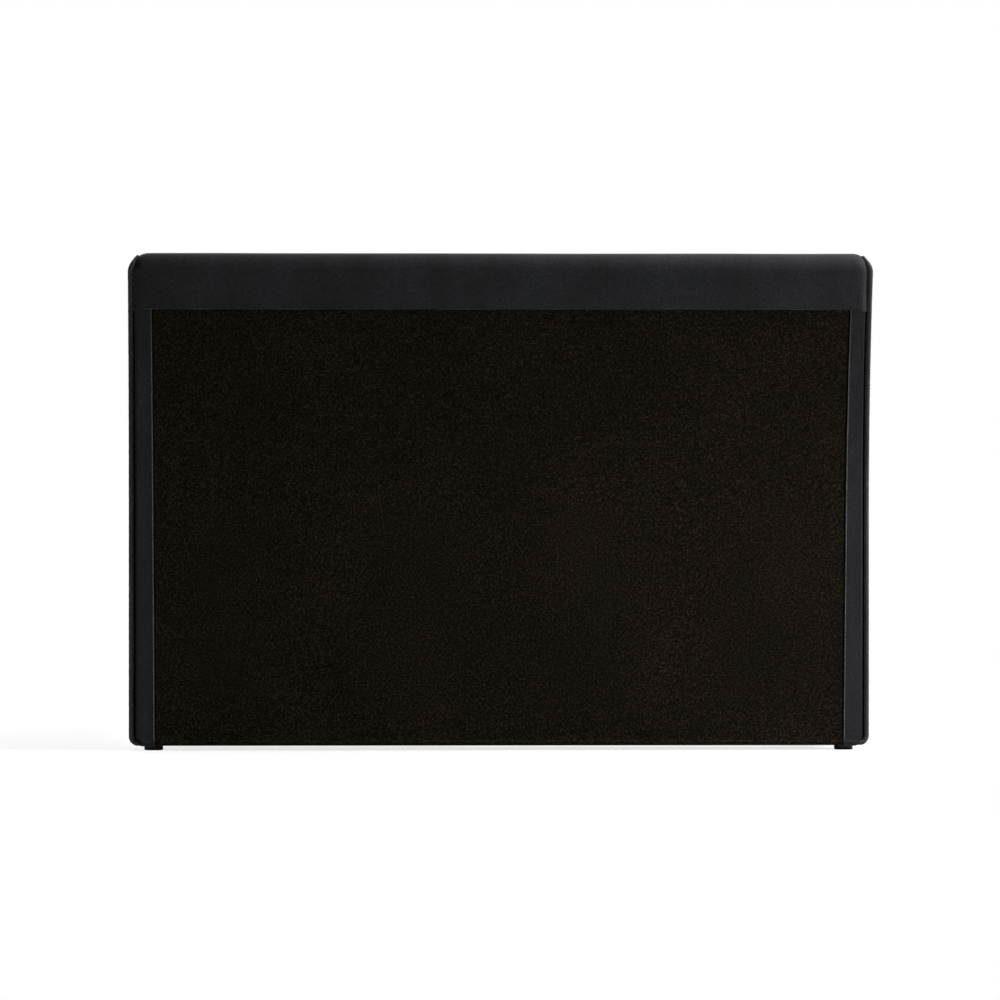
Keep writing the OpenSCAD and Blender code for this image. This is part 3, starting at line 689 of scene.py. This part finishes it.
def end_panel(name, node, board, side, seed):
    """The velvet end of a padded board, sewn in between the cover's two edges and swollen a little."""
    front = seam_line(board, np.vstack(board.front_rows()))
    back = seam_line(board, np.vstack(board.back_rows(TURN_END)))
    path = np.vstack([front, back])
    path = path[path[:, 2] > BODY_LOW + 2 * MM]
    top = int(np.argmax(path[:, 2] - 0.02 * np.abs(path[:, 1] - board.far_c[0])))
    count = 170
    def evenly(points):
        length = np.concatenate([[0], np.cumsum(np.linalg.norm(np.diff(points, axis=0), axis=1))])
        at = np.linspace(0, length[-1], count)
        return np.stack([np.interp(at, length, points[:, k]) for k in range(3)], -1)
    rise, fall = evenly(path[:top + 1]), evenly(path[top:][::-1])
    near = np.array([0, 0.02, 0.05, 0.1, 0.16, 0.24])
    t = np.concatenate([near, np.linspace(0.32, 0.68, 7), 1 - near[::-1]])
    points = rise[:, None] * (1 - t)[None, :, None] + fall[:, None] * t[None, :, None]
    width = np.linalg.norm(fall - rise, axis=1)[:, None]
    edge = width * np.minimum(t, 1 - t)[None]
    edge = np.minimum(edge, points[..., 2] - BODY_LOW)
    edge = np.minimum(edge, np.linalg.norm(points[-1:, :1] - points, axis=-1))
    bulge = 5.6 * MM * smooth(edge / (38 * MM)) + 0.5 * MM * np.exp(-edge / (10 * MM)) * lattice_noise(
        points[..., 2] / (9 * MM), points[..., 1] / (30 * MM), seed)
    points[..., 0] += bulge
    tuck = np.array([-4 * MM, 0, 0])
    inward = (fall - rise) / np.maximum(width, 1e-6)
    far = np.minimum(8 * MM, 0.4 * width)
    first, last = rise + tuck + inward * far, fall + tuck - inward * far
    points = np.concatenate([first[:, None], points, last[:, None]], axis=1)
    hem = np.repeat(points[:1], 3, axis=0)     # turns the panel under at the bottom
    hem[..., 0] = np.minimum(hem[..., 0], points[0, :, 0].max() - np.array([9.5, 2, 0.5])[:, None] * MM)
    hem[..., 2] = np.array([UNDER, UNDER, BODY_LOW + 4 * MM])[:, None]
    points = np.concatenate([hem, points])
    world = board.world(side * points[..., 0], points[..., 1], points[..., 2])
    panel = grid_mesh(name, world, PANEL_VELVET, flip=side * board.way < 0, thickness=1.0 * MM)
    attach(panel, "root")
    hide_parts(node)


def low_corner(board, depth, facing):
    """The piping's centre from under the low corner up to where the end runs straight."""
    reach = LOW_ROUND - (HALF_W - SEAM_X)
    a = np.radians(np.arange(90, -1, -9))
    x = SEAM_X - reach + reach * np.cos(a)
    z = BODY_LOW + LOW_ROUND - reach * np.sin(a)
    inset = end_drop(board, x, z) - PIPE_LIFT
    droop = (PIPE_OUT + LOW_SAG) * np.sin(a)
    centre = np.stack([x + PIPE_OUT * np.cos(a), depth - facing * inset, z - droop], -1)
    hidden = centre[0] + np.array([[-16 * MM, -facing * 4 * MM, 1 * MM], [-8 * MM, -facing * 1 * MM, 0]])
    return np.vstack([hidden, centre])


def piping(name, node, board, side, beads=None, seed=5):
    """Velvet piping round an end: up the face, over the top and down the back."""
    rows = np.vstack(board.front_rows() + board.back_rows(TURN_END))
    rows = rows[rows[:, 1] > BODY_LOW + LOW_ROUND + 2 * MM]
    top, _ = corner_shares(board, rows[:, 1])
    w = smooth(top)
    across = PIPE_OUT + (0.4 * MM - PIPE_OUT) * w
    lift = PIPE_LIFT + (-0.6 * MM - PIPE_LIFT) * w
    x = seam_x(board, rows[:, 1])
    inset = end_drop(board, x, rows[:, 1]) - lift
    upper = np.stack([x + across, rows[:, 0] - rows[:, 2] * inset, rows[:, 1] - rows[:, 3] * inset], -1)
    whole = np.vstack([low_corner(board, 0, -1), upper, low_corner(board, board.depth, 1)[::-1]])
    path = board.world(side * whole[:, 0], whole[:, 1], whole[:, 2])
    length = np.concatenate([[0], np.cumsum(np.linalg.norm(np.diff(path, axis=0), axis=1))])
    at = np.linspace(0, length[-1], int(length[-1] / (1.8 * MM)))
    path = np.stack([np.interp(at, length, path[:, k]) for k in range(3)], -1)
    behind = (path[:, 1] - board.face_y) * board.way > 0.5 * board.depth

    def ripple(i, angle):
        s = at[i]
        value = 1 + 0.035 * lattice_noise(s / (5 * MM), np.cos(angle) * 2 + 9, seed)
        value = value * (1 - 0.35 * smooth((path[i, 2] - board.high + 0.6 * TOP_ROUND) / (0.5 * TOP_ROUND)))
        if beads:
            z = path[i, 2]
            inside = smooth((z - beads[0]) / 0.02) * smooth((beads[1] - z) / 0.02) * behind[i]
            value = value + 0.11 * inside * np.cos(2 * math.pi * s / (7 * MM))
        return value

    cord = tube(name, path, PIPE_R, PIPING_HIGHLIGHT, ripple)
    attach(cord, "root")
    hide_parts(node)


def strip_edge(z, side):
    """The inner edge of a back strip, which is a little wider at the floor than at the band."""
    return 768.2 * MM + (9.5 if side < 0 else 5.5) * MM * z / BAND_LOW


def back_strip(name, node, side, seed):
    board = HEAD
    rows = np.vstack(board.back_from(BAND_LOW + 9 * MM, TURN_END) + board.turn_under_rows())
    z = rows[:, 1][:, None]
    length = row_lengths(rows)[:, None]
    r = 1.1 * MM
    wander = 0.35 * MM * lattice_noise(length / (28 * MM), 0 * length + 2, seed)
    fold_x = strip_edge(z, side) + wander
    seam = seam_x(board, rows[:, 1])[:, None]
    t = 1 - np.array([0, 0.02, 0.045, 0.075, 0.11, 0.15, 0.19, 0.23, 0.28, 0.35, 0.45, 0.57, 0.7, 0.82,
                      0.91, 0.96, 1.0])
    flat_x = fold_x + r + (seam - fold_x - r) * t
    gap = seam - flat_x
    seam_in = end_drop(board, seam, z) + 2.4 * MM
    ripple = 0.4 * MM * lattice_noise(length / (30 * MM), flat_x / (20 * MM), seed + 1)
    flat_in = STRIP_SINK + (seam_in - STRIP_SINK) * smooth((7.5 * MM - gap) / (2.5 * MM))
    flat_in = flat_in - ripple * np.minimum(1 - t, t) * 2
    k = np.radians(np.arange(22.5, 181, 22.5))[None]
    fold = fold_x + r - r * np.sin(k)
    fold_in = STRIP_SINK + r * (1 - np.cos(k)) + 0 * z
    under = fold_x + r + np.array([3, 7, 11]) * MM
    under_in = STRIP_SINK + 2 * r + 0 * under
    x = np.hstack([flat_x, fold, under])
    inset = np.hstack([flat_in, fold_in, under_in])
    sunk = np.where(rows[:, 3][:, None] < -0.1, inset - DUST_SINK, inset) * -rows[:, 3][:, None]
    world = board.world(side * x, rows[:, 0][:, None] - rows[:, 2][:, None] * inset, z + sunk)
    # painted shade: the strip goes dark in the groove by its seam and fully dark where it turns under
    painted_shade = np.hstack([smooth((13 * MM - gap) / (8 * MM)), np.zeros_like(fold), np.ones_like(under)])
    strip = grid_mesh(name, world, VELVET, flip=side > 0, thickness=0.7 * MM, painted_shade=painted_shade)
    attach(strip, "root")
    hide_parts(node)
    stitches = edge_stitches(name + "_stitches", rows, side, seed)


def edge_stitches(name, rows, side, seed):
    """A row of short stitches beside a strip's folded edge."""
    board = HEAD
    length = row_lengths(rows)
    pitch, long = 4.7 * MM, 2.9 * MM
    rng = np.random.default_rng(seed)
    verts, faces = [], []
    start = 12 * MM
    count = int((length[-1] - start - 45 * MM) / pitch)
    for i in range(count):
        s = start + i * pitch + rng.uniform(-0.2, 0.2) * MM
        for j, share in enumerate((0, 0.12, 0.5, 0.88, 1.0)):
            at = s + long * share
            d, z, nd, nz = (np.interp(at, length, rows[:, c]) for c in range(4))
            lift = (-0.35 + 0.5 * math.sin(math.pi * share)) * MM
            radius = (0.45 if share in (0, 1) else 0.8) * MM
            x0 = strip_edge(z, side) + 1.9 * MM + 0.15 * MM * (share - 0.5)
            for k in range(6):
                a = k * math.pi / 3
                inset = STRIP_SINK - lift - radius * math.sin(a)
                x = side * (x0 + radius * math.cos(a))
                verts.append(board.world(*np.array([x, d - nd * inset, z - nz * inset])))
        base = len(verts) - 30
        for j in range(4):
            for k in range(6):
                a, b = base + j * 6 + k, base + j * 6 + (k + 1) % 6
                faces.append((a, b, b + 6, a + 6))
        faces.append(tuple(base + k for k in range(6))[::-1])
        faces.append(tuple(base + 24 + k for k in range(6)))
    stitches = add_mesh(name, verts, faces, THREAD)
    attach(stitches, "root")
    return stitches


def dust_cover():
    """The thin cloth stapled over the back, tight over five ribs and hollow between them."""
    board = HEAD
    rows = np.vstack(board.back_from(BAND_LOW + 7 * MM, TURN_END) + board.turn_under_rows())
    half = 797 * MM
    fine = np.linspace(762 * MM, 782 * MM, 14)
    xs = np.concatenate([-fine[::-1], np.linspace(-755 * MM, 755 * MM, 121), fine])
    xs = np.concatenate([[-half], xs, [half]])[None]
    z = rows[:, 1][:, None]
    length = row_lengths(rows)[:, None]
    spacing = 394 * MM
    between = np.abs(np.sin(math.pi * xs / spacing)) ** 1.5
    run = smooth(length / 0.12) * smooth((z - 0.03) / 0.12)
    hollow = 0.7 * MM * between * run
    draw = 0.2 * MM * (lattice_noise(xs / 0.021, length / 0.19, 31)
                       + lattice_noise(xs / 0.13, length / 0.2, 32))
    hem = 0.9 * MM * smooth((z - (BODY_LOW + 12.5 * MM)) / (-1.2 * MM))
    inset = DUST_SINK + hollow + draw * run - hem
    d = rows[:, 0][:, None] - rows[:, 2][:, None] * inset
    down = np.where(rows[:, 3][:, None] < -0.1, inset - DUST_SINK, inset) * -rows[:, 3][:, None]
    world = board.world(xs + 0 * z, d, z + down)
    edge = np.where(xs < 0, strip_edge(z, -1), strip_edge(z, 1))
    # painted shadow: the dust cover goes dark just outside each strip's folded edge, where the strip would
    # shade it
    painted_shade = 0.9 * smooth(1.6 - (edge - np.abs(xs)) / (3 * MM))
    cloth = grid_mesh("dust_cover", world, LINING, thickness=0.4 * MM, painted_shade=painted_shade)
    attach(cloth, "root")
    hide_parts("headboard_dust_cover")


bracket_low, bracket_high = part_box("corner_brackets")
hanger_low, hanger_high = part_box("beam_hangers")
rail_low, rail_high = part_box("rail_right_cover")
SPOTS = [
    (rail_low.x, rail_high.x, rail_low.z, rail_high.z),
    (rail_low.x - 45 * MM, rail_low.x, bracket_low.z, bracket_high.z),
    (0.0, hanger_high.x, hanger_low.z, hanger_high.z),
]

band_end = HEAD.back_rows(BAND_LOW - 1 * MM)
turned = fold_rows(band_end[-1][-1])
padded_cover("headboard_velvet", ("headboard_cover", "headboard_foam", "headboard_end_foam"), HEAD,
             HEAD.front_rows() + band_end + [turned], folded=len(turned), spots=SPOTS, seed=11)
padded_cover("footboard_velvet", ("footboard_cover", "footboard_foam", "footboard_end_foam"), FOOT,
             FOOT.front_rows() + FOOT.back_rows(TURN_END) + FOOT.turn_under_rows(), spots=SPOTS, seed=21)
for side, word in ((-1, "left"), (1, "right")):
    end_panel("headboard_end_" + word, "headboard_end_panel_" + word, HEAD, side, 41 + side)
    end_panel("footboard_end_" + word, "footboard_end_panel_" + word, FOOT, side, 51 + side)
    piping("headboard_piping_cord_" + word, "headboard_piping_" + word, HEAD, side,
           beads=(0.79, 0.88) if side < 0 else None, seed=61 + side)
    piping("footboard_piping_cord_" + word, "footboard_piping_" + word, FOOT, side, seed=71 + side)
    back_strip("headboard_strip_" + word, "headboard_back_strip_" + word, side, 81 + side)
dust_cover()


# --- side rails

def rounded_section(half_w, half_h, radius, step=6 * MM):
    """Points and outward normals round a rounded rectangle, anticlockwise."""
    out = []
    for cx, cz, start in ((1, 1, 0), (-1, 1, 90), (-1, -1, 180), (1, -1, 270)):
        for a in np.radians(start + np.arange(0, 91, 15)):
            ray = np.array([math.cos(a), math.sin(a)])
            out.append([cx * (half_w - radius), cz * (half_h - radius), *ray])
    corner = np.array(out)
    points = corner[:, :2] + radius * corner[:, 2:]
    ring = []
    for i in range(len(points)):
        j = (i + 1) % len(points)
        gap = np.linalg.norm(points[j] - points[i])
        count = max(1, round(gap / step)) if gap > 0.03 else 1
        for k in range(count):
            ring.append([*(points[i] + (points[j] - points[i]) * k / count), *corner[i, 2:]])
    return np.array(ring)


def rail_cover(name, node, side, seed):
    """Velvet wrapped round a padded side rail, softly crowned on its outer face."""
    low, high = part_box(node)
    half_w, half_h = (high.x - low.x) / 2, (high.z - low.z) / 2
    ring = rounded_section(half_w, half_h, 9 * MM)
    ends = np.array([0, 1, 3, 6, 10, 16, 24, 34, 48, 66, 90]) * MM
    body = np.linspace(115 * MM, 2 * RAIL_HALF_L - 115 * MM, 60)
    along = np.concatenate([ends, body, 2 * RAIL_HALF_L - ends[::-1]])[:, None]
    x, z, nx, nz = (ring[None, :, k] for k in range(4))
    to_end = np.minimum(along, 2 * RAIL_HALF_L - along)
    outer = smooth((x * side) / half_w) * smooth((half_h - np.abs(z)) / (60 * MM))
    upper = smooth((z - half_h + 20 * MM) / (20 * MM)) * smooth((half_w - np.abs(x)) / (16 * MM))
    crown = (3.2 * MM * outer + 2.2 * MM * upper) * smooth(to_end / (55 * MM))
    around = row_lengths(ring)[None]
    wave = 0.5 * MM * lattice_noise(along / 0.15, around / 0.1, seed) * smooth(to_end / (30 * MM))
    gathers = lattice_noise(around / (9 * MM), to_end / (20 * MM), seed + 1)
    pucker = 0.4 * MM * np.exp(-to_end / (9 * MM)) * gathers
    flat = -smooth((-x * side - half_w + 4 * MM) / (4 * MM))
    push = crown + (wave + pucker) * (1 + flat)
    cx, cz = (high.x + low.x) / 2, (high.z + low.z) / 2
    points = np.stack(np.broadcast_arrays(cx + x + nx * push, low.y + along, cz + z + nz * push), -1)
    cover = grid_mesh(name, points, VELVET, wrap_cols=True, flip=True, thickness=COVER_T)
    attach(cover, "root")
    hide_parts(node, node.replace("cover", "foam"))


# --- slat webbing

BLOCK_FACES = ((0, 3, 2, 1), (4, 5, 6, 7), (0, 1, 5, 4), (1, 2, 6, 5), (2, 3, 7, 6), (3, 0, 4, 7))


def webbing():
    """Two woven tapes stapled under the slats, which keep their spacing."""
    low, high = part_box("slat_webbing")
    half = 12.5 * MM
    mid_x = high.x - half
    slat_half = 35 * MM
    slat_y = np.linspace(low.y + slat_half, high.y - slat_half, 15)
    rng = np.random.default_rng(91)
    for side, word in ((-1, "left"), (1, "right")):
        y = np.linspace(low.y, high.y, 301)[:, None]
        x = np.linspace(-half, half, 7)[None]
        away = np.min(np.abs(y - slat_y[None]), axis=1)[:, None]
        sag = 0.8 * MM * smooth((away - slat_half) / (20 * MM))
        top = high.z - 0.1 * MM - sag
        drift = 1.2 * MM * lattice_noise(y / 0.4, 0 * y + side, 92)
        points = np.stack(np.broadcast_arrays(side * mid_x + x + drift, y, top), -1)
        band = grid_mesh("webbing_" + word, points, TAPE, thickness=1.2 * MM)
        verts, faces = [], []
        for yy in slat_y:
            for dx in (-6 * MM, 6 * MM):
                turn = rng.uniform(-0.2, 0.2)
                u = np.array([math.cos(turn), math.sin(turn)]) * 5 * MM
                v = np.array([-math.sin(turn), math.cos(turn)]) * 0.35 * MM
                base = len(verts)
                for zz in (high.z - 2.0 * MM, high.z - 1.2 * MM):
                    for a, b in ((-1, -1), (1, -1), (1, 1), (-1, 1)):
                        px, py = np.array([side * mid_x + dx, yy]) + a * u + b * v
                        verts.append((px, py, zz))
                faces += [tuple(base + k for k in quad) for quad in BLOCK_FACES]
        staples = add_mesh("webbing_staples_" + word, verts, faces, ZINC, smooth_shade=False)
        for piece in (band, staples):
            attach(piece, "root")
        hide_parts("slat_webbing")


rail_cover("rail_left_velvet", "rail_left_cover", -1, 101)
rail_cover("rail_right_velvet", "rail_right_cover", 1, 103)
webbing()


# --- finishes on the CAD parts

FINISHES = {
    "ribs": PLYWOOD, "front_board": PLYWOOD, "back_board": PLYWOOD, "top_rail": PLYWOOD,
    "posts": POST_PINE, "battens": BEECH, "foam": FOAM, "glide_feet": PLASTIC,
    "board": PINE, "ledger": PINE, "centre_beam": PINE, "slats": BEECH,
    "centre_legs": STAINED, "corner_brackets": COATED, "beam_hangers": COATED,
    "screws": ZINC, "bolts": ZINC, "washers": ZINC, "tee_nuts": ZINC,
    "leveller_sockets": BRASS, "leveller_pad": PLASTIC, "leveller_stud": ZINC,
}
SOFT = {"dust_cover": LINING, "piping": PIPING_HIGHLIGHT, "webbing": TAPE, "cover": VELVET,
        "end_panel": VELVET, "back_strip": VELVET}
# Edge roundings in millimetres
ROUNDED = {PLYWOOD: 0.6, PINE: 1.5, POST_PINE: 1.5, BEECH: 1.6, STAINED: 0.4, PLASTIC: 0.5,
           COATED: 0.4, ZINC: 0.15}
FOOT_ROUNDING = 3.5


def finish_of(node):
    """The soft finishes by their first matching word, the rest by their longest."""
    for word, material in SOFT.items():
        if word in node:
            return material
    part = node.split("board_", 1)[-1]
    return FINISHES[max((word for word in FINISHES if word in part), key=len)]


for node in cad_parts:
    obj = bpy.data.objects[node]
    material = finish_of(node)
    obj.data.materials.clear()
    obj.data.materials.append(material)
    if material in ROUNDED and not obj.hide_render:
        bevel = obj.modifiers.new("soft_edges", "BEVEL")
        bevel.width = (FOOT_ROUNDING if node == "glide_feet" else ROUNDED[material]) * MM
        bevel.segments = 4 if node == "glide_feet" else 2
        bevel.limit_method = "ANGLE"
        bevel.angle_limit = math.radians(40)
        bevel.harden_normals = False


# --- floor, light and camera

def floor_material():
    """White floor that fades into the white background round the bed."""
    n = Nodes("floor")
    mottle = n.noise(3.0, 3)
    n.link(n.ramp(mottle, (0.3, (0.87, 0.87, 0.87)), (0.7, (0.9, 0.9, 0.9))), n.shader.inputs["Base Color"])
    n.link(n.span(mottle, 0.7, 0.8), n.shader.inputs["Roughness"])
    n.shader.inputs["Specular IOR Level"].default_value = 0.1
    glow = n.add("ShaderNodeEmission", Color=(1, 1, 1, 1), Strength=1.0)
    away = n.add("ShaderNodeVectorMath", operation="LENGTH")
    n.link(n.stretched((1, 0.72, 1)), away.inputs[0])
    fade = n.add("ShaderNodeMapRange", interpolation_type="SMOOTHSTEP")
    fade.inputs["From Min"].default_value, fade.inputs["From Max"].default_value = 0.8, 2.4
    fade.inputs["To Min"].default_value = 0.72
    n.link(away.outputs["Value"], fade.inputs["Value"])
    sight = n.add("ShaderNodeLightPath")
    blend = n.add("ShaderNodeMixShader")
    n.link(n.math("MULTIPLY", fade.outputs["Result"], sight.outputs["Is Camera Ray"]), blend.inputs[0])
    n.link(n.shader.outputs[0], blend.inputs[1])
    n.link(glow.outputs[0], blend.inputs[2])
    n.link(blend.outputs[0], n.tree.nodes["Material Output"].inputs["Surface"])
    return n.material


FLOOR_HALF = 60
ground = [(a * FLOOR_HALF, b * FLOOR_HALF, 0) for a, b in ((-1, -1), (1, -1), (1, 1), (-1, 1))]
floor = add_mesh("floor", ground, [(0, 1, 2, 3)], floor_material())

world = bpy.data.worlds.new("studio")
bpy.context.scene.world = world
world.use_nodes = True
tree = world.node_tree
back = tree.nodes["Background"]
back.inputs["Color"].default_value = (1, 1, 1, 1)
back.inputs["Strength"].default_value = 0.03
seen = tree.nodes.new("ShaderNodeBackground")
seen.inputs["Color"].default_value = (1, 1, 1, 1)
seen.inputs["Strength"].default_value = 1.0
path = tree.nodes.new("ShaderNodeLightPath")
choose = tree.nodes.new("ShaderNodeMixShader")
tree.links.new(path.outputs["Is Camera Ray"], choose.inputs[0])
tree.links.new(back.outputs[0], choose.inputs[1])
tree.links.new(seen.outputs[0], choose.inputs[2])
tree.links.new(choose.outputs[0], tree.nodes["World Output"].inputs["Surface"])


def area_light(name, place, target, size, watts, colour=(1, 1, 1)):
    data = bpy.data.lights.new(name, "AREA")
    data.shape, data.size, data.size_y = "RECTANGLE", *size
    data.energy, data.color = watts, colour
    lamp = bpy.data.objects.new(name, data)
    bpy.context.scene.collection.objects.link(lamp)
    lamp.location = place
    aim = np.array(target, float) - np.array(place, float)
    lamp.rotation_euler = Vector(aim).to_track_quat("-Z", "Y").to_euler()


area_light("key", (-3.3, 2.0, 2.6), (-0.3, 1.15, 0.8), (1.2, 1.2), 245, (1, 0.99, 0.97))
area_light("top", (-1.8, 1.45, 2.9), (-0.6, 1.15, 1.1), (1.6, 0.5), 92)
area_light("fill", (3.6, 4.5, 1.6), (0, 1.1, 0.6), (2.5, 2.5), 1, (0.96, 0.98, 1))
area_light("front", (1.8, -5.2, 3.2), (0, -0.6, 0.5), (3, 2.4), 420)
area_light("side", (5.2, -0.6, 2.2), (0.5, -0.3, 0.4), (2.4, 2.4), 120)

camera_data = bpy.data.cameras.new("camera")
camera = bpy.data.objects.new("camera", camera_data)
bpy.context.scene.collection.objects.link(camera)
SIGHT = 16.0                 # distance from the headboard's back
BED_SHARE = 0.7443           # the bed's share of the picture's width
OFF_AXIS = 0.5               # the camera stands a little to one side of the headboard's middle
AIM_X = 0.0017
EYE_Z = 0.558
camera_data.lens = camera_data.sensor_width * BED_SHARE * SIGHT / (2 * HALF_W)
camera_data.clip_end = 200
camera.location = (OFF_AXIS, CAD_BOX[1][1] + SIGHT - 0.03, EYE_Z)
camera.rotation_euler = (math.radians(90), 0, math.radians(180) - math.atan((OFF_AXIS - AIM_X) / SIGHT))
bpy.context.scene.camera = camera
bpy.context.scene.view_settings.view_transform = "Standard"
